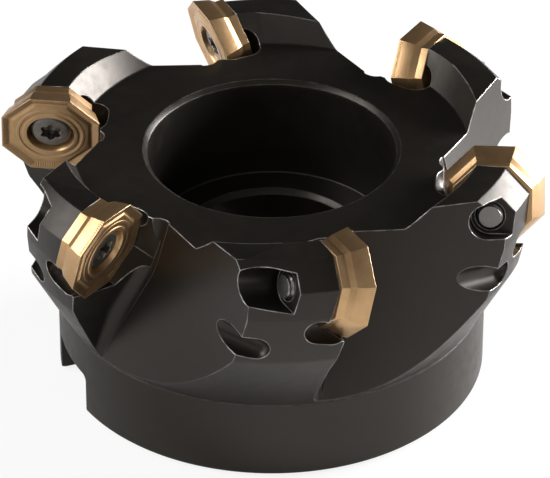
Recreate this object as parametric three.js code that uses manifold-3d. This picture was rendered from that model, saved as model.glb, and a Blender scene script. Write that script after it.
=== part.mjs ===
import * as THREE from 'three';
import { mergeVertices } from 'three/addons/utils/BufferGeometryUtils.js';
import Module from 'manifold-3d';

const wasm = await Module();
wasm.setup();

// Indexable face mill with six octagonal inserts, millimetres. Origin on the
// spindle axis in the back mounting face, +Z towards the cutting face. Seen
// from +Z the cutting direction is counter-clockwise.
//
// Tooth frame: X outwards at the insert's azimuth, Y in the cutting direction,
// Z along the spindle.
// Insert frame: origin in the rake face, X near the spindle direction,
// Y outwards, Z out of the rake face. A depth is measured along -Z.

// ---- driving dimensions: body ---------------------------------------------
const BODY_SEGMENTS = 80;
const BORE_R = 16;                 // arbor bore
const BORE_BACK_CHAMFER = 1;
const BORE_FRONT_CHAMFER = 0.9;
const COUNTERBORE_R = 22.15;       // recess for the clamping screw head
const COUNTERBORE_FLOOR_Z = 24.6;
const FACE_Z = 44.3;               // flat front face of the body
const HUB_R = 38.86;
const HUB_CHAMFER = 0.6;
const HUB_LINE_Z = 15.2;           // turned line under the back cone
const RIM_R = 48.1;

const DRIVE_SLOT_WIDTH = 14.4;     // drive slots across the back face
const DRIVE_SLOT_DEPTH = 8;
const DRIVE_SLOT_AZIMUTH = 20.1;
const DRIVE_SLOT_LENGTH = 120;     // runs out past the hub on both sides

// ---- driving dimensions: insert and screw ---------------------------------
const INSERT_AZIMUTHS = [106.18, 47.96, 345.06, 288.59, 225.9, 167.9];
const INSERT_R = 40.9;             // centre of the rake face from the axis
const INSERT_Z = 41.24;
const TILT_RADIAL = -13.919;       // turn about the radial direction
const TILT_AXIAL = 7.964;          // turn about the spindle direction
const TILT_TANGENT = -4.266;       // turn about the tangent
const INSERT_THICKNESS = 5.5;
// apothem, depth
const INSERT_PROFILE = [[8.9, 0], [7.85, 3.0], [7.1, 3.95], [7.0, INSERT_THICKNESS]];
const LAND_APOTHEM = 8.3;
const GROOVE_APOTHEM = 7.5;
const GROOVE_DEPTH = 0.5;
const BOSS_R = 5.2;
const BOSS_FLARE = 0.35;           // extra radius at the foot of the boss
const BOSS_TOP_Z = -0.05;
const HOLE_R = 2.9;
const COUNTERSINK_R = 4.2;

const SCREW_HEAD_R = 3.7;
const SCREW_SHANK_R = 2.3;
const SCREW_TOP_Z = -0.7;
const SCREW_END = 12.8;
const SOCKET_R = 1.975;            // lobed socket, 3.95 across the lobes
const SOCKET_WAVE = 0.26;          // half the height of a lobe
const SOCKET_LOBES = 6;
const SOCKET_POINTS = 36;
const SOCKET_DEPTH = 1.7;

// ---- driving dimensions: cuts in the insert frame -------------------------
const POCKET_GAP = 0.3;            // between the insert's sides and the walls
const POCKET_FLOOR_GAP = 0.2;      // the same at the seat
const SEAT_GAP = 0.02;
const POCKET_REACH = 2.6;          // extent of the open sides, in apothems
const LIFT_CLEARANCE = 4.6;        // room along the screw axis for lifting the insert out
// corner reliefs: x, y, radius, depths of the shallow and the deep ball centre
const RELIEFS = [
  [2.9, -7.0, 3.2, 1.2, 4.2],
  [-6.8, 4.4, 2.6, 3.8, 6.4],
];
const THREAD_BORE_R = 2.6;
const THREAD_BORE_START = 4;
const THREAD_BORE_END = 11.9;
const THREAD_BORE_OVERLAP = 0.5;   // run of the bore into the back slot
const BACK_SLOT_R = 3.4;           // open slot in the tooth behind the screw
const BACK_SLOT_REACH = 16;
const BACK_SLOT_END = 42;

// ---- driving dimensions: cuts in the tooth frame --------------------------
const GULLET_LEVELS = [4, 12, 17, 20, 23, 26, 30, 34, 36, 40, 44.3, 50, 56]; // z
const GULLET_HEIGHT = 30;          // outwards from the floor
const GULLET_REACH = 37;           // forwards from the wall
const GULLET_FILLET = 3;
const GULLET_GROOVE = 0.35;        // sink of the fillet below the floor
const GULLET_CORNER = GULLET_FILLET + GULLET_GROOVE;
// floor: x at the front face where y = 0, its slopes along y and down from
// the face, and the change of slope with both
const FLOOR = { x: 29.4, perY: 0.25, perDrop: 0.335, twist: -0.0088 };
// wall under the insert: place of its bend, slopes of y in front and behind
const WALL = { bendY: -1.76, bendZ: 36, frontSlope: 0.126, backSlope: 0.27 };

const NOTCH_R = 2.4;               // ball-ended notch in the tail of the tooth ahead
const NOTCH_BALL_CENTRE = [35.6, 30.75, 33.0];
const NOTCH_DIRECTION = [0.34, -0.925, 0.2];
const NOTCH_LENGTH = 20;

const TAIL_TOP = {                 // flat on the top of the tooth ahead
  frontY: 28.7,
  frontZ: 49.37,
  backY: 12,
  fall: 0.111,                     // slope down towards the tail
  clearZ: 54,
  radialSpan: [10, 58],
};

// ---- numbers --------------------------------------------------------------
const rad = THREE.MathUtils.degToRad;
const OCTAGON_ANGLE = 45;
const FIRST_CORNER = OCTAGON_ANGLE / 2;
const CORNER_PER_APOTHEM = 1 / Math.cos(Math.PI / 8);

function range(from, to, steps) {
  return Array.from({ length: steps + 1 }, (_, i) => from + ((to - from) * i) / steps);
}

// straight change between two levels, constant beyond them
function ramp(z, lowZ, highZ, low, high) {
  const { clamp, mapLinear } = THREE.MathUtils;
  return mapLinear(clamp(z, lowZ, highZ), lowZ, highZ, low, high);
}

function arc(radius, from, to, steps, x = 0, y = 0) {
  return range(from, to, steps)
    .map((angle) => [x + radius * Math.cos(angle), y + radius * Math.sin(angle)]);
}

// part of a ball's [radius, height] profile, exactly on the axis at the poles
function ballProfile(radius, from, to, steps, height = 0) {
  return range(from, to, steps).map((angle) => {
    const atPole = Math.abs(angle) >= Math.PI / 2;
    return [atPole ? 0 : radius * Math.cos(angle), radius * Math.sin(angle) + height];
  });
}

// ---- solid helpers --------------------------------------------------------
// true if the faces point inwards, from the sign of the enclosed volume
function isInsideOut(positions, indices) {
  const vertex = (i) => new THREE.Vector3().fromArray(positions, indices[i] * 3);
  let volume = 0;
  for (let i = 0; i < indices.length; i += 3) {
    volume += vertex(i).dot(vertex(i + 1).cross(vertex(i + 2)));
  }
  return volume < 0;
}

function solid(geometry) {
  const bare = geometry.clone();
  bare.deleteAttribute('normal');
  bare.deleteAttribute('uv');
  const merged = mergeVertices(bare, 1e-4);
  const positions = new Float32Array(merged.attributes.position.array);
  const source = merged.index.array;
  const indices = [];
  for (let i = 0; i < source.length; i += 3) {
    const triangle = [...source.slice(i, i + 3)];
    if (new Set(triangle).size === 3) indices.push(...triangle);
  }
  if (isInsideOut(positions, indices)) {
    for (let i = 0; i < indices.length; i += 3) {
      [indices[i], indices[i + 1]] = [indices[i + 1], indices[i]];
    }
  }
  return new wasm.Manifold(new wasm.Mesh({
    numProp: 3, vertProperties: positions, triVerts: new Uint32Array(indices),
  }));
}

function geometryOf(manifold) {
  const mesh = manifold.getMesh();
  const geometry = new THREE.BufferGeometry();
  geometry.setAttribute('position', new THREE.BufferAttribute(mesh.vertProperties.slice(), 3));
  geometry.setIndex(new THREE.BufferAttribute(new Uint32Array(mesh.triVerts), 1));
  return geometry;
}

const vectors = (points) => points.map(([x, y]) => new THREE.Vector2(x, y));

// profile of [radius, height] turned about +Z
function turned(profile, segments, start = 0) {
  return new THREE.LatheGeometry(vectors(profile), segments, start).rotateX(Math.PI / 2);
}

// closed polygon carried through a list of levels by a mapping of its points
function swept(points, levels, map) {
  const steps = levels.length - 1;
  const geometry = new THREE.ExtrudeGeometry(
    new THREE.Shape(vectors(points)), { depth: 1, steps, bevelEnabled: false });
  const position = geometry.attributes.position;
  for (let i = 0; i < position.count; i++) {
    const level = levels[Math.round(position.getZ(i) * steps)];
    position.setXYZ(i, ...map(position.getX(i), position.getY(i), level));
  }
  return geometry;
}

// ---- frames ---------------------------------------------------------------
const toothMatrix = (azimuth) => new THREE.Matrix4().makeRotationZ(rad(azimuth));

function insertMatrix(azimuth) {
  const radial = new THREE.Vector3(Math.cos(rad(azimuth)), Math.sin(rad(azimuth)), 0);
  const axial = new THREE.Vector3(0, 0, 1);
  const tangent = new THREE.Vector3().crossVectors(axial, radial);
  const tilt = (direction) => direction.clone()
    .applyAxisAngle(tangent, rad(TILT_TANGENT))
    .applyAxisAngle(axial, rad(TILT_AXIAL))
    .applyAxisAngle(radial, rad(TILT_RADIAL));
  return new THREE.Matrix4()
    .makeBasis(tilt(axial), tilt(radial), tilt(tangent))
    .setPosition(radial.clone().multiplyScalar(INSERT_R).setZ(INSERT_Z));
}

// ---- cuts in the tooth frame ----------------------------------------------
function floorX(y, z) {
  const drop = FACE_Z - z;
  return FLOOR.x + FLOOR.perY * y + FLOOR.perDrop * drop + FLOOR.twist * y * drop;
}

// the fillet corner shrinks towards the back of the gullet
const cornerScale = (z) => ramp(z, 17, 26, 0.6, 1);

function wallY(z) {
  const slope = z > WALL.bendZ ? WALL.frontSlope : WALL.backSlope;
  return WALL.bendY + (z - WALL.bendZ) * slope + (1 - cornerScale(z)) * GULLET_CORNER;
}

// the wall leans away from the radius, more so towards the front face,
// about a line at a height above the floor
const wallLean = (z) => ramp(z, 16, 34, 0, 0.15);
const leanHeight = (z) => ramp(z, 6, 34, 0, 14);

function gullet() {
  const fillet = arc(
    GULLET_FILLET, Math.PI, 1.5 * Math.PI, 5, GULLET_FILLET - GULLET_GROOVE, GULLET_FILLET);
  // height above the floor, distance ahead of the wall
  const outline = [
    [GULLET_HEIGHT, 0], [GULLET_HEIGHT, GULLET_REACH], [0, GULLET_REACH], [0, GULLET_CORNER],
    ...fillet,
  ];
  return swept(outline, GULLET_LEVELS, (height, ahead, z) => {
    const inCorner = height < GULLET_CORNER && ahead < GULLET_CORNER + 0.01;
    const scale = inCorner ? cornerScale(z) : 1;
    const x = height * scale;
    const y = ahead * scale + wallY(z) + wallLean(z) * (leanHeight(z) - x);
    return [x + floorX(y, z), y, z];
  });
}

function notch() {
  const direction = new THREE.Vector3(...NOTCH_DIRECTION).normalize();
  const profile = [
    ...ballProfile(NOTCH_R, -Math.PI / 2, 0, 5), [NOTCH_R, NOTCH_LENGTH], [0, NOTCH_LENGTH],
  ];
  return new THREE.LatheGeometry(vectors(profile), 16)
    .applyQuaternion(
      new THREE.Quaternion().setFromUnitVectors(new THREE.Vector3(0, 1, 0), direction))
    .translate(...NOTCH_BALL_CENTRE);
}

function tailTop() {
  const { frontY, frontZ, backY, fall, clearZ, radialSpan } = TAIL_TOP;
  const outline = [
    [frontY, frontZ], [backY, frontZ - (frontY - backY) * fall], [backY, clearZ], [frontY, clearZ],
  ];
  return swept(outline, radialSpan, (y, z, x) => [x, y, z]);
}

// ---- cuts in the insert frame ---------------------------------------------
// three walls stand round the insert, the other sides are open
function pocket() {
  const corners = [3, 4, 5, 6].map((k) => {
    const angle = rad(FIRST_CORNER + OCTAGON_ANGLE * k);
    return [Math.cos(angle) * CORNER_PER_APOTHEM, Math.sin(angle) * CORNER_PER_APOTHEM];
  });
  const outline = [
    ...corners, [POCKET_REACH, corners[3][1]], [POCKET_REACH, POCKET_REACH],
    [corners[0][0], POCKET_REACH],
  ];
  const walls = INSERT_PROFILE.slice(0, -1)
    .map(([apothem, depth]) => [apothem + POCKET_GAP, depth]);
  const levels = [
    [walls[0][0], -LIFT_CLEARANCE],
    ...walls,
    [INSERT_PROFILE.at(-1)[0] + POCKET_FLOOR_GAP, INSERT_THICKNESS + SEAT_GAP],
  ];
  return swept(outline, levels, (x, y, [apothem, depth]) => [x * apothem, y * apothem, -depth]);
}

function relief([x, y, radius, shallow, deep]) {
  return turned([
    ...ballProfile(radius, -Math.PI / 2, 0, 4, -deep),
    ...ballProfile(radius, 0, Math.PI / 2, 4, -shallow),
  ], 16).translate(x, y, 0);
}

function threadBore() {
  const end = THREAD_BORE_END + THREAD_BORE_OVERLAP;
  return new THREE.CylinderGeometry(THREAD_BORE_R, THREAD_BORE_R, end - THREAD_BORE_START, 20)
    .rotateX(Math.PI / 2)
    .translate(0, 0, -(THREAD_BORE_START + end) / 2);
}

// half round towards the axis, straight walls out through the tooth's outer side
function backSlot() {
  const outline = [
    ...arc(BACK_SLOT_R, Math.PI, 2 * Math.PI, 12),
    [BACK_SLOT_R, BACK_SLOT_REACH], [-BACK_SLOT_R, BACK_SLOT_REACH],
  ];
  return swept(outline, [THREAD_BORE_END, BACK_SLOT_END], (x, y, depth) => [x, y, -depth]);
}

// ---- body -----------------------------------------------------------------
// radius, z
const BODY_PROFILE = [
  [BORE_R + BORE_BACK_CHAMFER, 0],
  [HUB_R - HUB_CHAMFER, 0],
  [HUB_R, HUB_CHAMFER],
  [HUB_R, HUB_LINE_Z],
  [46.4, 29.6],                    // top of the back cone
  [RIM_R, 39.5],
  [RIM_R, 45],
  [43.6, 49.2],
  [38.6, 49.35],
  [35.4, FACE_Z],
  [COUNTERBORE_R + 0.95, FACE_Z],
  [COUNTERBORE_R + 0.15, FACE_Z - 0.7],
  [COUNTERBORE_R, FACE_Z - 1.5],
  [COUNTERBORE_R, COUNTERBORE_FLOOR_Z],
  [BORE_R + BORE_FRONT_CHAMFER, COUNTERBORE_FLOOR_Z],
  [BORE_R, COUNTERBORE_FLOOR_Z - BORE_FRONT_CHAMFER],
  [BORE_R, BORE_BACK_CHAMFER],
  [BORE_R + BORE_BACK_CHAMFER, 0],
];

function toothCutters(azimuth) {
  const tooth = toothMatrix(azimuth);
  const insert = insertMatrix(azimuth);
  return [
    ...[gullet(), notch()].map((cut) => cut.applyMatrix4(tooth)),
    ...[pocket(), ...RELIEFS.map(relief), threadBore(), backSlot()]
      .map((cut) => cut.applyMatrix4(insert)),
    tailTop().applyMatrix4(tooth),
  ];
}

function driveSlot() {
  return new THREE.BoxGeometry(DRIVE_SLOT_LENGTH, DRIVE_SLOT_WIDTH, 2 * DRIVE_SLOT_DEPTH)
    .applyMatrix4(toothMatrix(DRIVE_SLOT_AZIMUTH));
}

function bodySolid() {
  return [...INSERT_AZIMUTHS.flatMap(toothCutters), driveSlot()].reduce(
    (body, cutter) => body.subtract(solid(cutter)), solid(turned(BODY_PROFILE, BODY_SEGMENTS)));
}

// ---- insert and screw, in the insert frame --------------------------------
function insertSolid() {
  const blank = solid(turned([
    [0, -INSERT_THICKNESS],
    ...INSERT_PROFILE.toReversed().map(([apothem, depth]) => [
      apothem * CORNER_PER_APOTHEM, -depth]),
    [LAND_APOTHEM * CORNER_PER_APOTHEM, 0],
    [GROOVE_APOTHEM * CORNER_PER_APOTHEM, -GROOVE_DEPTH],
    [0, -GROOVE_DEPTH],
  ], 8, rad(FIRST_CORNER)));
  const boss = solid(turned([
    [0, -1], [BOSS_R + BOSS_FLARE, -1], [BOSS_R + BOSS_FLARE, -GROOVE_DEPTH],
    [BOSS_R, BOSS_TOP_Z], [0, BOSS_TOP_Z],
  ], 32));
  const hole = solid(turned([
    [0, -INSERT_THICKNESS - 1], [HOLE_R, -INSERT_THICKNESS - 1], [HOLE_R, -3.2],
    [COUNTERSINK_R - 0.15, -0.9], [COUNTERSINK_R, 0.5], [0, 0.5],
  ], 24));
  return blank.add(boss).subtract(hole);
}

function screwSolid() {
  const blank = solid(turned([
    [0, -SCREW_END], [SCREW_SHANK_R - 0.3, -SCREW_END], [SCREW_SHANK_R, -SCREW_END + 0.4],
    [SCREW_SHANK_R, -3.75], [SCREW_HEAD_R, -1.25], [SCREW_HEAD_R, -0.95],
    [SCREW_HEAD_R - 0.35, SCREW_TOP_Z], [0, SCREW_TOP_Z],
  ], 24));
  const outline = range(0, 360, SOCKET_POINTS).slice(0, -1).map((angle) => {
    const radius = SOCKET_R - SOCKET_WAVE + SOCKET_WAVE * Math.cos(rad(SOCKET_LOBES * angle));
    return [radius * Math.cos(rad(angle)), radius * Math.sin(rad(angle))];
  });
  const socket = swept(outline, [SCREW_TOP_Z - SOCKET_DEPTH, 0.5], (x, y, z) => [x, y, z]);
  return blank.subtract(solid(socket));
}

// ---- materials and group --------------------------------------------------
const metal = (color, roughness, metalness) => () => (
  new THREE.MeshStandardMaterial({ color, roughness, metalness }));
const bodyMetal = metal(0x2e2b29, 0.42, 0.75);
const insertMetal = metal(0xc09a58, 0.32, 0.85);
const screwMetal = metal(0x77726c, 0.35, 0.9);

const group = new THREE.Group();

function add(name, geometry, material) {
  const mesh = new THREE.Mesh(geometry, material);
  mesh.name = name;
  group.add(mesh);
}

add('cutter_body', geometryOf(bodySolid()), bodyMetal());

const insertShape = insertSolid();
const screwShape = screwSolid();
INSERT_AZIMUTHS.forEach((azimuth, i) => {
  const place = insertMatrix(azimuth);
  add(`insert_${i + 1}`, geometryOf(insertShape).applyMatrix4(place), insertMetal());
  add(`insert_screw_${i + 1}`, geometryOf(screwShape).applyMatrix4(place), screwMetal());
});

export default group;
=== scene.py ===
"""Face milling cutter with six octagonal inserts, each held by a six-lobed screw.

The axis is Z. The hub stands on z = 0 and the cutting face, with the inserts, is at the top.
Shapes are worked out in millimetres and scaled to metres at the end. Two local frames are used:
  tooth frame:  x outward along the insert's radius, y round the axis (anticlockwise), z up
  insert frame: x up the axis, y outward, z along the face normal (all tilted), face near z = 0
"""
import bpy, bmesh, math
from mathutils import Matrix, Vector


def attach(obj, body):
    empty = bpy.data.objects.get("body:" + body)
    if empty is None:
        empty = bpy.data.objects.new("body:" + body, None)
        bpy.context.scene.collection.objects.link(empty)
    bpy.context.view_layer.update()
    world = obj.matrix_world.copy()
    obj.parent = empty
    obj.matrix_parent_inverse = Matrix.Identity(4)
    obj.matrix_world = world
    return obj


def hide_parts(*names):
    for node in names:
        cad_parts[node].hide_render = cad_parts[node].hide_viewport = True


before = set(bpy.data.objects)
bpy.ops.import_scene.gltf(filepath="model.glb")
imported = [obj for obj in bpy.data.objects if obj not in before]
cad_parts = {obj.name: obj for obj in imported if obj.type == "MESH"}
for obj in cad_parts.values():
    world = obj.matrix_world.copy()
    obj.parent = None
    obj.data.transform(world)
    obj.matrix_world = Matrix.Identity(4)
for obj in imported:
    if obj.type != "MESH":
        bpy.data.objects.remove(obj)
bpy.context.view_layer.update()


# ------------------------------------------------------------------ main dimensions (mm, degrees)
MM = 0.001
AZIMUTHS = [106.18, 47.96, 345.06, 288.59, 225.9, 167.9]
INSERT_R, INSERT_Z = 40.9, 41.24
TILT_RADIAL, TILT_AXIAL, TILT_TANGENT = -13.919, 7.964, -4.266    # turns about each direction
CORNER_RATIO = 1 / math.cos(math.pi / 8)     # octagon: corner distance over apothem
FACE_Z = 44.3
BORE_R, COUNTERBORE_R, COUNTERBORE_Z = 16.0, 22.15, 24.6
HUB_R, HUB_LINE_Z, RIM_R = 38.86, 15.2, 48.099
THREAD_PITCH = 0.8


# ------------------------------------------------------------------ frames and numbers
def rad(degrees):
    return degrees * math.pi / 180


def clamp(value, low, high):
    return min(high, max(low, value))


def steps(start, end, count):
    return [start + (end - start) * i / count for i in range(count + 1)]


def axes_matrix(x_axis, y_axis, z_axis, origin):
    axes = [(*axis, 0) for axis in (x_axis, y_axis, z_axis)]
    return Matrix(axes + [(*origin, 1)]).transposed()


def insert_matrix(azimuth):
    angle = rad(azimuth)
    radial, axial = Vector((math.cos(angle), math.sin(angle), 0)), Vector((0, 0, 1))
    tangent = axial.cross(radial)
    tilt = (Matrix.Rotation(rad(TILT_RADIAL), 3, radial)
            @ Matrix.Rotation(rad(TILT_AXIAL), 3, axial)
            @ Matrix.Rotation(rad(TILT_TANGENT), 3, tangent))
    centre = radial * INSERT_R + Vector((0, 0, INSERT_Z))
    return axes_matrix(tilt @ axial, tilt @ radial, tilt @ tangent, centre)


# ------------------------------------------------------------------ mesh helpers
def loft(name, rings, closed=False, capped=False, downward=False):
    """solid through rings of points; a ring may be a single point on the axis"""
    ids, first = [], 0
    for ring in rings:
        ids.append(range(first, first + len(ring)))
        first += len(ring)
    faces = [tuple(ids[0]), tuple(ids[-1])] if capped else []
    for a, b in zip(ids, ids[1:] + ids[:1] if closed else ids[1:]):
        count = max(len(a), len(b))
        for i in range(count):
            j = (i + 1) % count
            if len(a) == 1:
                face = (a[0], b[j], b[i])
            elif len(b) == 1:
                face = (a[i], a[j], b[0])
            else:
                face = (a[i], a[j], b[j], b[i])
            faces.append((face[0], *face[:0:-1]) if downward else face)
    mesh = bpy.data.meshes.new(name)
    mesh.from_pydata([point for ring in rings for point in ring], [], faces)
    bm = bmesh.new()
    bm.from_mesh(mesh)
    bmesh.ops.recalc_face_normals(bm, faces=bm.faces)
    if bm.calc_volume(signed=True) < 0:
        bmesh.ops.reverse_faces(bm, faces=bm.faces)
    bm.to_mesh(mesh)
    bm.free()
    return mesh


def circle(radius, z, count, start=0.0):
    """ring of points round Z, or one point where it shrinks onto the axis"""
    if radius < 1e-9:
        return [(0.0, 0.0, z)]
    angles = [start + 2 * math.pi * i / count for i in range(count)]
    return [(radius * math.cos(a), radius * math.sin(a), z) for a in angles]


def lathe(name, profile, count, start=0.0, closed=False):
    """solid of revolution about Z from (radius, z) points"""
    return loft(name, [circle(r, z, count, start) for r, z in profile], closed=closed)


def swept(name, outline, levels, mapping):
    """capped solid; mapping turns an outline point and a level into x, y, z"""
    return loft(name, [[mapping(x, y, level) for x, y in outline] for level in levels],
                capped=True)


def arc(radius, start, end, count):
    return [(radius * math.cos(a), radius * math.sin(a)) for a in steps(start, end, count)]


def rounded(points, closed=True):
    """polyline of (x, y, fillet radius) with its corners rounded"""
    out, count = [], len(points)
    for i, (x, y, radius) in enumerate(points):
        if radius <= 0 or (not closed and i in (0, count - 1)):
            out.append((x, y))
            continue
        corner = Vector((x, y))
        to_last = Vector(points[i - 1][:2]) - corner
        to_next = Vector(points[(i + 1) % count][:2]) - corner
        last_length, next_length = to_last.length, to_next.length
        to_last, to_next = to_last / last_length, to_next / next_length
        half = 0.5 * math.acos(max(-1, min(1, to_last.dot(to_next))))
        # a fillet takes up at most 0.45 of either side
        trim = min(radius / math.tan(half), 0.45 * last_length, 0.45 * next_length)
        fitted = trim * math.tan(half)
        centre = corner + (to_last + to_next).normalized() * (fitted / math.sin(half))
        start, end = corner + to_last * trim, corner + to_next * trim
        a0 = math.atan2(start.y - centre.y, start.x - centre.x)
        a1 = math.atan2(end.y - centre.y, end.x - centre.x)
        turn = (a1 - a0 + math.pi) % (2 * math.pi) - math.pi
        parts = max(2, int(abs(turn) / rad(15)) + 1)
        out += [(centre.x + fitted * math.cos(a0 + turn * q / parts),
                 centre.y + fitted * math.sin(a0 + turn * q / parts)) for q in range(parts + 1)]
    return out


def add_object(name, data):
    obj = bpy.data.objects.new(name, data)
    bpy.context.scene.collection.objects.link(obj)
    return obj


def bake(obj):
    """replace an object's mesh by the result of its modifiers"""
    bpy.context.view_layer.update()
    evaluated = obj.evaluated_get(bpy.context.evaluated_depsgraph_get())
    mesh = bpy.data.meshes.new_from_object(evaluated)
    obj.modifiers.clear()
    obj.data = mesh


def combine(obj, parts, operation="DIFFERENCE"):
    """cut (or join) a list of (mesh, matrix) into an object"""
    helpers = []
    for mesh, matrix in parts:
        placed = mesh.copy()
        placed.transform(matrix)
        helpers.append(add_object("tmp_cutter", placed))
        boolean = obj.modifiers.new("b", "BOOLEAN")
        boolean.operation = operation
        boolean.solver = "MANIFOLD"
        boolean.object = helpers[-1]
    bake(obj)
    for helper in helpers:
        bpy.data.objects.remove(helper)


def smooth(mesh, angle):
    mesh.shade_smooth()
    mesh.set_sharp_from_angle(angle=rad(angle))


def set_material(mesh, material):
    mesh.materials.clear()
    mesh.materials.append(material)


IN_PLACE = Matrix.Identity(4)

# ------------------------------------------------------------------ body blank
# radius, z, fillet radius: out along the underside, up the outside, in over the face, down the bore
BODY_PROFILE = [
    (17.0, 0, 0.1), (HUB_R - 0.6, 0, 0.25), (HUB_R, 0.6, 0.25),
    (HUB_R, HUB_LINE_Z - 0.22, 0), (HUB_R - 0.13, HUB_LINE_Z, 0),
    (HUB_R + 0.05, HUB_LINE_Z + 0.2, 0),
    (46.4, 29.6, 3.0), (RIM_R, 39.5, 3.0), (RIM_R, 45.0, 0.3), (43.6, 49.2, 0.3),
    (38.6, 49.35, 0.3), (35.4, FACE_Z, 0.5), (23.1, FACE_Z, 0.12), (22.3, FACE_Z - 0.7, 0.15),
    (COUNTERBORE_R, FACE_Z - 1.5, 0), (COUNTERBORE_R, COUNTERBORE_Z, 0.4),
    (BORE_R + 0.9, COUNTERBORE_Z, 0.1), (BORE_R, COUNTERBORE_Z - 0.9, 0.1), (BORE_R, 1.0, 0.1),
]

# ------------------------------------------------------------------ gullet (tooth frame)
FILLET, GROOVE = 3.0, 0.35                   # corner radius, undercut of the floor at the corner
CORNER_SIZE = FILLET + GROOVE
GULLET_X, GULLET_Y = 30, 37                  # reach outward from the floor and along it
FLOOR_X = 29.4                               # floor at y = 0, level with the face
FLOOR_PER_Y, FLOOR_PER_DEPTH, FLOOR_TWIST = 0.25, 0.335, 0.0088
WALL_BREAK_Z = 36                            # the wall has an upper and a lower plane
UPPER_WALL_Y, UPPER_WALL_SLOPE = -1.76, 0.126
LOWER_WALL_Y, LOWER_WALL_Z, LOWER_WALL_SLOPE = -2.3, 34, 0.27
WALL_LEAN = 0.15                             # how far the wall leans away from the radius


def floor_x(y, z):
    depth = FACE_Z - z
    return FLOOR_X + FLOOR_PER_Y * y + FLOOR_PER_DEPTH * depth - FLOOR_TWIST * y * depth


def corner_scale(z):
    """the corner grows from 0.6 at z = 17 to full size at z = 26"""
    return clamp(0.6 + (z - 17) / 9 * 0.4, 0.6, 1)


def wall_y(z):
    if z > WALL_BREAK_Z:
        return UPPER_WALL_Y + (z - WALL_BREAK_Z) * UPPER_WALL_SLOPE
    return (LOWER_WALL_Y - (LOWER_WALL_Z - z) * LOWER_WALL_SLOPE
            + (1 - corner_scale(z)) * CORNER_SIZE)


def gullet_point(from_floor, from_wall, z):
    in_corner = from_floor < CORNER_SIZE and from_wall < CORNER_SIZE + 0.01
    scale = corner_scale(z) if in_corner else 1
    dx, dy = from_floor * scale, from_wall * scale
    lean = WALL_LEAN * clamp((z - 16) / 18, 0, 1)
    y = dy + wall_y(z) + lean * (clamp(6 + (z - 18) / 2, 0, 14) - dx)
    return (dx + floor_x(y, z), y, z)


gullet_outline = [(GULLET_X, 0), (GULLET_X, GULLET_Y)]
gullet_outline += [(0, y) for y in steps(GULLET_Y, CORNER_SIZE, 22)]
gullet_outline += [(FILLET - GROOVE + FILLET * math.cos(a), FILLET + FILLET * math.sin(a))
                   for a in steps(math.pi, 1.5 * math.pi, 12)]
gullet = swept("gullet", gullet_outline, steps(4, 56, 64), gullet_point)

# ------------------------------------------------------------------ other cuts in the tooth frame
# shallow slope along the top of the body, cut right across the rim: y and z of the outline
SLOPE_Y0, SLOPE_Y1, SLOPE_TOP_Z, SLOPE = 12, 28.7, 49.37, 0.111
TOP_OUTLINE = [(SLOPE_Y1, SLOPE_TOP_Z), (SLOPE_Y0, SLOPE_TOP_Z - 16.7 * SLOPE),
               (SLOPE_Y0, 54), (SLOPE_Y1, 54)]
tail_top = swept("tail_top", TOP_OUTLINE, [10, 58], lambda y, z, x: (x, y, z))

# ball-ended notch
NOTCH_R, NOTCH_LENGTH = 2.4, 20
NOTCH_AT, NOTCH_DIRECTION = (35.6, 30.75, 33.0), (0.34, -0.925, 0.2)
notch = lathe("notch", arc(NOTCH_R, -math.pi / 2, 0, 16)
              + [(NOTCH_R, NOTCH_LENGTH), (0, NOTCH_LENGTH)], 64)
notch_turn = Vector(NOTCH_DIRECTION).normalized().to_track_quat("Z", "Y")
notch_matrix = Matrix.Translation(NOTCH_AT) @ notch_turn.to_matrix().to_4x4()

# ------------------------------------------------------------------ cuts in the insert frame
POCKET_EDGE = 2.6                            # where the pocket is cut off square


def octagon_corner(k):
    angle = rad(22.5 + 45 * k)
    return (math.cos(angle) * CORNER_RATIO, math.sin(angle) * CORNER_RATIO)


pocket_outline = [octagon_corner(k) for k in (3, 4, 5, 6)]
pocket_outline += [(POCKET_EDGE, octagon_corner(6)[1]), (POCKET_EDGE, POCKET_EDGE),
                   (octagon_corner(3)[0], POCKET_EDGE)]
# apothem, depth behind the insert face; the outline is for an apothem of 1
POCKET_LEVELS = [(9.2, -4.6), (9.2, 0), (8.15, 3.0), (7.4, 3.95), (7.2, 5.52)]
pocket = swept("pocket", pocket_outline, POCKET_LEVELS,
               lambda x, y, level: (x * level[0], y * level[0], -level[1]))

# ball-ended corner reliefs: x, y, radius, depths of the two ball centres
RELIEFS = [(2.9, -7.0, 3.2, 1.2, 4.2), (-6.8, 4.4, 2.6, 3.8, 6.4)]
reliefs = []
for x, y, radius, first, last in RELIEFS:
    capsule = [(r, z - last) for r, z in arc(radius, -math.pi / 2, 0, 14)]
    capsule += [(r, z - first) for r, z in arc(radius, 0, math.pi / 2, 14)]
    reliefs.append((lathe("relief", capsule, 56), Matrix.Translation((x, y, 0))))

# threaded hole: a plain bore with eight ridges and a wider mouth
HOLE_R, HOLE_RIDGE_R, MOUTH_R = 2.6, 2.82, 2.85
hole_profile = [(0, -12.4), (HOLE_R, -12.4)]
for k in range(8):
    z = -11.9 + THREAD_PITCH * k
    hole_profile += [(HOLE_R, z), (HOLE_RIDGE_R, z + THREAD_PITCH / 2)]
hole_profile += [(HOLE_R, -5.6), (MOUTH_R, -5.5), (MOUTH_R, -4.0), (0, -4.0)]
thread_bore = lathe("thread_bore", hole_profile, 48)

# round-bottomed slot behind the threaded hole, open outward
BACK_SLOT_R, BACK_SLOT_Y = 3.4, 16
back_slot = swept("back_slot", arc(BACK_SLOT_R, math.pi, 2 * math.pi, 36)
                  + [(BACK_SLOT_R, BACK_SLOT_Y), (-BACK_SLOT_R, BACK_SLOT_Y)],
                  [11.9, 42], lambda x, y, depth: (x, y, -depth))

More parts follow.
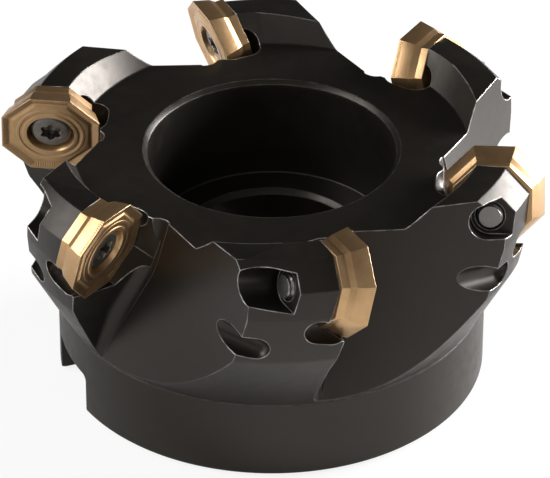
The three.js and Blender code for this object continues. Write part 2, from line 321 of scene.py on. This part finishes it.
# ------------------------------------------------------------------ slot across the underside
SLOT_WIDTH, SLOT_DEPTH, SLOT_AZIMUTH = 14.4, 8.0, 20.1
SLOT_HALF = SLOT_WIDTH / 2
# across, z, fillet radius
SLOT_OUTLINE = [
    (-SLOT_HALF - 0.9, -1, 0), (SLOT_HALF + 0.9, -1, 0), (SLOT_HALF + 0.6, 0, 0.1),
    (SLOT_HALF, 0.8, 0.3), (SLOT_HALF, SLOT_DEPTH, 1.2), (-SLOT_HALF, SLOT_DEPTH, 1.2),
    (-SLOT_HALF, 0.8, 0.3), (-SLOT_HALF - 0.6, 0, 0.1)]
slot = swept("slot", rounded(SLOT_OUTLINE), steps(-60, 60, 2), lambda y, z, x: (x, y, z))


# ------------------------------------------------------------------ body
def build_body():
    body = add_object("milled_body", lathe("body_steel", rounded(BODY_PROFILE), 288, closed=True))
    cutters = [(slot, Matrix.Rotation(rad(SLOT_AZIMUTH), 4, "Z"))]
    for azimuth in AZIMUTHS:
        tooth, seat = Matrix.Rotation(rad(azimuth), 4, "Z"), insert_matrix(azimuth)
        cutters += [(gullet, tooth), (notch, tooth @ notch_matrix), (pocket, seat)]
        cutters += [(relief, seat @ place) for relief, place in reliefs]
        cutters += [(thread_bore, seat), (back_slot, seat), (tail_top, tooth)]
    combine(body, cutters)
    body.data.transform(Matrix.Scale(MM, 4))
    smooth(body.data, 24)
    return body


# ------------------------------------------------------------------ insert (insert frame)
# apothem, z: up the flank, over the cutting edge and in across the face
INSERT_PROFILE = [
    (0.0, -5.5), (7.0, -5.5), (7.1, -3.95), (7.85, -3.0), (8.9, 0.0), (8.62, 0.0),
    (7.95, -0.32), (7.5, -0.5), (7.2, -0.48), (6.85, -0.2), (0.0, -0.2)]
# radius, z, fillet radius
BOSS_PROFILE = [
    (0, -1.5, 0), (6.6, -1.5, 0), (6.45, -0.3, 0), (6.2, -0.12, 0.1), (5.75, -0.1, 0.1),
    (5.6, -0.2, 0.1), (5.15, -0.2, 0.1), (5.0, -0.06, 0.08), (0, -0.06, 0)]
SCREW_HOLE_PROFILE = [
    (0, -7, 0), (2.9, -7, 0), (2.9, -3.2, 0.5), (4.05, -0.9, 0.4), (4.2, -0.35, 0.1),
    (4.45, 0.1, 0), (4.6, 1, 0), (0, 1, 0)]


def build_insert():
    outer = [(apothem * CORNER_RATIO, z) for apothem, z in INSERT_PROFILE]
    blank = add_object("blank", lathe("blank", outer, 8, start=rad(22.5)))
    bevel = blank.modifiers.new("bevel", "BEVEL")
    bevel.width = 0.07
    bevel.segments = 2
    bevel.limit_method = "ANGLE"
    bevel.angle_limit = rad(12)
    bake(blank)
    boss = lathe("boss", rounded(BOSS_PROFILE, closed=False), 96)
    hole = lathe("hole", rounded(SCREW_HOLE_PROFILE, closed=False), 96)
    combine(blank, [(boss, IN_PLACE)], "UNION")
    combine(blank, [(hole, IN_PLACE)])
    mesh = blank.data
    bpy.data.objects.remove(blank)
    return mesh


# ------------------------------------------------------------------ screw (insert frame)
SHANK_R, THREAD_TOP, SCREW_END = 2.3, -4.2, -12.8
THREAD_DEPTH, TIP_TAPER = 0.36, 0.35
SCREW_SIDES = 72
# radius, z, fillet radius
HEAD_PROFILE = [(0.0, -0.55, 0), (3.2, -0.66, 0.25), (3.66, -0.95, 0.2), (3.7, -1.25, 0.12),
                (2.62, -3.5, 0.4), (SHANK_R, -4.1, 0)]
LOBE_R, LOBE_SWING = 1.7, 0.275              # mean radius of the six-lobed socket, and its wave
# scale, z
SOCKET_LEVELS = [(1.0, -2.5), (1.0, -0.75), (1.12, -0.45), (1.12, 0.5)]
# radius, z
DIMPLE_PROFILE = [(0, -3.1), (1.35, -2.4), (1.35, -2.0), (0, -2.0)]


def screw_mesh():
    rings = [circle(r, z, SCREW_SIDES) for r, z in rounded(HEAD_PROFILE, closed=False)]
    z = THREAD_TOP
    while z > SCREW_END - 1e-9:              # helical thread, faded out at both ends
        fade = (clamp((THREAD_TOP - z) / 0.9, 0, 1)
                * clamp((z - SCREW_END) / 0.7 + 0.1, 0, 1))
        taper = max(0.0, 1 - (z - SCREW_END) / 0.6) * TIP_TAPER
        ring = []
        for i in range(SCREW_SIDES):
            angle = 2 * math.pi * i / SCREW_SIDES
            phase = ((z / THREAD_PITCH) - i / SCREW_SIDES) % 1.0
            triangle = abs(phase - 0.5) * 2
            depth = THREAD_DEPTH * (1 - clamp((triangle - 0.12) / 0.76, 0, 1))
            r = SHANK_R - depth * fade - taper
            ring.append((r * math.cos(angle), r * math.sin(angle), z))
        rings.append(ring)
        z -= 0.1
    rings.append([(0.0, 0.0, SCREW_END - 0.02)])
    return loft("screw", rings, downward=True)


def socket_outline():
    outline = []
    for i in range(96):
        angle = 2 * math.pi * i / 96
        wave = math.cos(6 * angle)
        r = LOBE_R + LOBE_SWING * (wave if wave > 0 else wave * 0.95)
        outline.append((r * math.cos(angle), r * math.sin(angle)))
    return outline


def build_screw():
    socket = swept("socket", socket_outline(), SOCKET_LEVELS,
                   lambda x, y, level: (x * level[0], y * level[0], level[1]))
    dimple = lathe("dimple", DIMPLE_PROFILE, 48)
    screw = add_object("screw", screw_mesh())
    combine(screw, [(socket, IN_PLACE), (dimple, IN_PLACE)])
    mesh = screw.data
    shank = mesh.attributes.new("shank", "FLOAT", "POINT")    # marks the length below the head
    for vertex in mesh.vertices:
        shank.data[vertex.index].value = 1.0 if vertex.co.z < -4.1 else 0.0
    bpy.data.objects.remove(screw)
    return mesh


# ------------------------------------------------------------------ shader helpers
class Graph:
    """a node tree, emptied and built up again; inputs may be values or sockets"""

    def __init__(self, tree):
        self.tree = tree
        tree.nodes.clear()

    def set(self, target, inputs):
        for key, value in inputs.items():
            if isinstance(value, bpy.types.NodeSocket):
                self.tree.links.new(value, target.inputs[key])
            else:
                target.inputs[key].default_value = value

    def add(self, kind, inputs=None, **settings):
        made = self.tree.nodes.new("ShaderNode" + kind)
        for key, value in settings.items():
            setattr(made, key, value)
        self.set(made, inputs or {})
        return made

    def math(self, operation, *values):
        return self.add("Math", dict(enumerate(values)), operation=operation).outputs[0]

    def times(self, a, b):
        return self.math("MULTIPLY", a, b)

    def plus(self, a, b):
        return self.math("ADD", a, b)

    def wave(self, value, pitch):
        return self.math("SINE", self.times(value, 2 * math.pi / pitch))

    def length(self, x, y):
        squares = self.plus(self.math("POWER", x, 2.0), self.math("POWER", y, 2.0))
        return self.math("SQRT", squares)

    def split(self, point):
        return self.add("SeparateXYZ", {0: point}).outputs

    def dot(self, a, b):
        return self.add("VectorMath", {0: a, 1: b}, operation="DOT_PRODUCT").outputs["Value"]

    def noise(self, point, scale, detail=3.0, rough=0.55):
        return self.add("TexNoise", {"Scale": scale, "Detail": detail, "Roughness": rough,
                                     "Vector": point}).outputs["Fac"]

    def ramp(self, value, low, high):
        """low colour up to 0.3, high colour from 0.7"""
        made = self.add("ValToRGB", {0: value})
        for element, place, color in zip(made.color_ramp.elements, (0.3, 0.7), (low, high)):
            element.position = place
            element.color = (*color, 1)
        return made.outputs[0]

    def mix(self, amount, base, over):
        return self.add("Mix", {0: amount, 6: base, 7: (*over, 1)}, data_type="RGBA").outputs[2]

    def remap(self, value, span, to):
        return self.add("MapRange", {0: value, 1: span[0], 2: span[1],
                                     3: to[0], 4: to[1]}).outputs[0]

    def object_point(self):
        return self.add("TexCoord").outputs["Object"]

    def edges(self, radius):
        """rounded normal, and a mask that is 1 where the surface turns sharply within radius"""
        normal = self.add("Bevel", {"Radius": radius}, samples=6).outputs[0]
        facing = self.dot(normal, self.add("NewGeometry").outputs["Normal"])
        return normal, self.remap(facing, span=(0.99, 0.88), to=(0.0, 1.0))

    def finish(self, bsdf, color, metallic, roughness, height, strength, distance, normal):
        bump = self.add("Bump", {"Strength": strength, "Distance": distance,
                                 "Height": height, "Normal": normal})
        self.set(bsdf, {"Base Color": color, "Metallic": metallic, "Roughness": roughness,
                        "Normal": bump.outputs[0]})


def principled(name):
    material = bpy.data.materials.new(name)
    material.use_nodes = True
    graph = Graph(material.node_tree)
    output = graph.add("OutputMaterial")
    bsdf = graph.add("BsdfPrincipled")
    graph.set(output, {0: bsdf.outputs[0]})
    return material, graph, bsdf


# ------------------------------------------------------------------ materials (lengths in metres)
def black_oxide():
    """near-black steel, painted brighter on its edges towards the cutting face: partly wear, partly
    painted highlight
    """
    material, g, bsdf = principled("black_oxide")
    point = g.object_point()
    normal, edge = g.edges(radius=0.00032)
    big = g.noise(point, scale=60, detail=4)
    fine = g.noise(point, scale=2600, rough=0.6)
    mid = g.noise(point, scale=420, detail=4, rough=0.6)

    color = g.ramp(big, low=(0.0070, 0.0060, 0.0050), high=(0.0108, 0.0093, 0.0078))
    color = g.mix(g.remap(fine, span=(0.35, 0.75), to=(0.0, 0.22)), color,
                  over=(0.026, 0.022, 0.018))
    # edges painted near-white: partly real wear showing bare steel, partly painted highlight; the
    # height ramp paints them brighter towards the top
    wear_and_highlight = g.times(edge, g.remap(mid, span=(0.36, 0.60), to=(0.20, 1.0)))
    height = g.split(point)[2]
    wear_and_highlight = g.times(wear_and_highlight, g.remap(height, span=(0.020, 0.036), to=(0.22, 0.95)))
    color = g.mix(wear_and_highlight, color, over=(0.80, 0.78, 0.75))
    roughness = g.plus(g.remap(mid, span=(0.3, 0.7), to=(0.30, 0.40)),
                       g.remap(big, span=(0.3, 0.7), to=(-0.03, 0.04)))

    # faint turning marks run round the axis
    x, y, z = g.split(point)
    path = g.add("CombineXYZ", {0: g.plus(g.length(x, y), z)}).outputs[0]
    turning = g.noise(path, scale=5200, detail=2, rough=0.7)
    turning_share = 0.35                     # height of the marks against the fine grain
    g.finish(bsdf, color, metallic=g.remap(wear_and_highlight, span=(0.0, 1.0), to=(0.08, 0.9)),
             roughness=roughness, height=g.plus(g.times(turning, turning_share), fine),
             strength=0.10, distance=0.00004, normal=normal)
    g.set(bsdf, {"Specular IOR Level": 0.45, "Specular Tint": (1.0, 0.90, 0.81, 1)})
    return material


def insert_gold(azimuth, number):
    """gold coating with fine ribs along the edges, rings on the face and lines on the flank"""
    material, g, bsdf = principled(f"coated_carbide_{number}")
    # back into the insert's own frame, in mm
    move, turn, scale = (Matrix.Scale(MM, 4) @ insert_matrix(azimuth)).inverted().decompose()
    point = g.add("Mapping", {"Location": move, "Rotation": turn.to_euler(), "Scale": scale,
                              0: g.object_point()}, vector_type="POINT").outputs[0]
    x, y, z = g.split(point)
    normal, edge = g.edges(radius=0.00012)
    big = g.noise(point, scale=0.35)
    fine = g.noise(point, scale=7.0, detail=4, rough=0.65)

    # distance out to, and place along, the nearest side of the octagon
    r = g.length(x, y)
    angle = g.math("ARCTAN2", y, x)
    side = g.times(g.math("ROUND", g.math("DIVIDE", angle, math.pi / 4)), math.pi / 4)
    local = g.math("SUBTRACT", angle, side)
    apothem = g.times(r, g.math("COSINE", local))
    along = g.times(r, g.math("SINE", local))

    on_face = g.remap(z, span=(-0.75, -0.6), to=(0, 1))
    ribs = g.wave(along, pitch=0.42)
    rib_band = g.times(g.remap(apothem, span=(7.3, 7.6), to=(0, 1)),
                       g.remap(apothem, span=(8.75, 8.9), to=(1, 0)))
    rib_band = g.times(rib_band, on_face)
    rings = g.wave(r, pitch=0.36)
    ring_band = g.times(g.remap(r, span=(7.0, 6.8), to=(0, 1)), on_face)
    flank_wobble = 0.15
    flank = g.wave(g.plus(z, g.times(fine, flank_wobble)), pitch=0.22)
    off_face = g.math("SUBTRACT", 1.0, on_face)
    # relative heights of the four kinds of relief
    rib_share, ring_share, flank_share, grain_share = 1.0, 0.12, 0.12, 0.5
    height = g.plus(g.times(ribs, g.times(rib_band, rib_share)),
                    g.times(rings, g.times(ring_band, ring_share)))
    height = g.plus(height, g.times(flank, g.times(off_face, flank_share)))
    height = g.plus(height, g.times(fine, grain_share))

    color = g.ramp(big, low=(0.54, 0.335, 0.165), high=(0.62, 0.400, 0.212))
    color = g.mix(g.remap(fine, span=(0.35, 0.7), to=(0.0, 0.4)), color, over=(0.44, 0.26, 0.12))
    # edges painted light cream: partly wear, partly painted highlight
    edge_wear_and_highlight = 0.8
    color = g.mix(g.times(edge, edge_wear_and_highlight), color, over=(0.86, 0.74, 0.54))
    g.finish(bsdf, color, metallic=0.92,
             roughness=g.remap(fine, span=(0.3, 0.7), to=(0.28, 0.38)),
             height=height, strength=0.35, distance=0.00006, normal=normal)
    return material


def screw_steel():
    material, g, bsdf = principled("screw_steel")
    point = g.object_point()
    normal, edge = g.edges(radius=0.00010)
    fine = g.noise(point, scale=3200, rough=0.6)
    big = g.noise(point, scale=500)
    color = g.ramp(big, low=(0.17, 0.150, 0.130), high=(0.26, 0.232, 0.205))
    shank = g.add("Attribute", attribute_name="shank").outputs["Fac"]
    color = g.mix(shank, color, over=(0.27, 0.255, 0.24))
    # edges painted light steel: partly wear, partly painted highlight
    edge_wear_and_highlight = 0.7
    color = g.mix(g.times(edge, edge_wear_and_highlight), color, over=(0.62, 0.60, 0.58))
    g.finish(bsdf, color, metallic=g.remap(shank, span=(0.0, 1.0), to=(0.95, 0.85)),
             roughness=g.remap(fine, span=(0.3, 0.7), to=(0.28, 0.42)),
             height=fine, strength=0.15, distance=0.00003, normal=normal)
    return material


def pale_floor():
    """matt floor that looks nearly white to the camera"""
    material, g, bsdf = principled("pale_floor")
    color = g.ramp(g.noise(g.object_point(), scale=3), low=(0.90,) * 3, high=(0.93,) * 3)
    g.set(bsdf, {"Roughness": 0.9, "Base Color": color})
    glow = g.add("Emission", {"Color": (1, 1, 1, 1), "Strength": 1.04})
    glow_share = 0.82                        # seen by camera rays only
    camera_ray = g.add("LightPath").outputs["Is Camera Ray"]
    blend = g.add("MixShader", {0: g.times(camera_ray, glow_share),
                                1: bsdf.outputs[0], 2: glow.outputs[0]})
    g.set(g.tree.nodes["Material Output"], {0: blend.outputs[0]})
    return material


# ------------------------------------------------------------------ the pieces
body = build_body()
insert_mesh = build_insert()
screw_data = build_screw()

set_material(body.data, black_oxide())
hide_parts("cutter_body")
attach(body, "cutter_body")


def place_piece(name, source, matrix, material, smooth_angle):
    mesh = source.copy()
    mesh.transform(matrix)
    set_material(mesh, material)
    smooth(mesh, smooth_angle)
    return add_object(name, mesh)


steel = screw_steel()
for i, azimuth in enumerate(AZIMUTHS, 1):
    seat = Matrix.Scale(MM, 4) @ insert_matrix(azimuth)
    piece = place_piece(f"octagon_insert_{i}", insert_mesh, seat, insert_gold(azimuth, i), 20)
    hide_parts(f"insert_{i}")
    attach(piece, f"insert_{i}")
    piece = place_piece(f"clamp_screw_{i}", screw_data, seat, steel, 30)
    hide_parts(f"insert_screw_{i}")
    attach(piece, f"screw_{i}")

for mesh in list(bpy.data.meshes):           # the cutters' meshes are no longer needed
    if mesh.users == 0:
        bpy.data.meshes.remove(mesh)

# ------------------------------------------------------------------ floor (metres)
FLOOR_HALF, FLOOR_Z = 3, -0.0002
floor_mesh = bpy.data.meshes.new("floor")
floor_mesh.from_pydata([(x * FLOOR_HALF, y * FLOOR_HALF, 0)
                        for x, y in ((-1, -1), (1, -1), (1, 1), (-1, 1))], [], [(0, 1, 2, 3)])
floor = add_object("floor", floor_mesh)
floor.location.z = FLOOR_Z
floor_mesh.materials.append(pale_floor())


# ------------------------------------------------------------------ world
def build_world():
    """white to the camera; for the rest a dim surround, darkest high on the +Y side"""
    world = bpy.data.worlds.new("studio")
    bpy.context.scene.world = world
    world.use_nodes = True
    g = Graph(world.node_tree)
    output = g.add("OutputWorld")
    backdrop = g.add("Background", {0: (1, 1, 1, 1), 1: 1.0})
    direction = g.add("TexCoord").outputs["Generated"]
    toward_dark = g.dot(direction, Vector((0.0, 0.80, 0.60)))
    strength = g.remap(toward_dark, span=(0.75, -0.25), to=(0.04, 0.31))
    surround = g.add("Background", {0: (1.0, 0.985, 0.97, 1), 1: strength})
    blend = g.add("MixShader", {0: g.add("LightPath").outputs["Is Camera Ray"],
                                1: surround.outputs[0], 2: backdrop.outputs[0]})
    g.set(output, {0: blend.outputs[0]})


build_world()

# ------------------------------------------------------------------ lights
AIM = Vector((0, 0, 0.03))                   # metres
# name, azimuth, elevation, distance (m), width and height as seen from the tool (deg), radiance
SOFTBOXES = [
    ("right", 22, 13, 0.6, 36, 22, 34.0),
    ("left", 182, 37, 0.6, 34, 30, 6.0),
    ("left_low", 190, 6, 0.6, 40, 12, 2.0),
    ("front", 262, 30, 0.7, 40, 24, 0.75),
]
for name, azimuth, elevation, distance, wide, high, radiance in SOFTBOXES:
    a, e = rad(azimuth), rad(elevation)
    light = bpy.data.lights.new(name, "AREA")
    light.shape = "RECTANGLE"
    light.size = 2 * distance * math.tan(rad(wide) / 2)
    light.size_y = 2 * distance * math.tan(rad(high) / 2)
    light.energy = radiance * math.pi * light.size * light.size_y
    direction = Vector((math.cos(e) * math.cos(a), math.cos(e) * math.sin(a), math.sin(e)))
    softbox = add_object(name, light)
    softbox.location = AIM + direction * distance
    softbox.rotation_euler = (-direction).to_track_quat("-Z", "Y").to_euler()

# ------------------------------------------------------------------ camera
CAMERA_ELEVATION, CAMERA_ROLL = 32.605, 0.083    # degrees
CAMERA_PAN, CAMERA_PITCH = -0.042427254, -1.0153906    # degrees, turned off the insert plane centre
CAMERA_DISTANCE = 789.356249                     # mm from that centre

camera = bpy.data.cameras.new("camera")
camera.sensor_width = 36
camera.lens = 288.33768
camera.clip_end = 20
camera_object = add_object("camera", camera)

elevation, roll = rad(CAMERA_ELEVATION), rad(CAMERA_ROLL)
back = Vector((0, -math.cos(elevation), math.sin(elevation)))
level_right, level_up = Vector((1, 0, 0)), Vector((0, math.sin(elevation), math.cos(elevation)))
right = level_right * math.cos(roll) + level_up * math.sin(roll)
up = -level_right * math.sin(roll) + level_up * math.cos(roll)
pan = Matrix.Rotation(rad(CAMERA_PAN), 3, up)
right = pan @ right
pitch = Matrix.Rotation(rad(CAMERA_PITCH), 3, right)
position = (back * CAMERA_DISTANCE + Vector((0, 0, INSERT_Z))) * MM
camera_object.matrix_world = axes_matrix(right, pitch @ up, pitch @ (pan @ back), position)
bpy.context.scene.camera = camera_object

bpy.context.scene.view_settings.view_transform = "Standard"
bpy.context.scene.view_settings.look = "None"
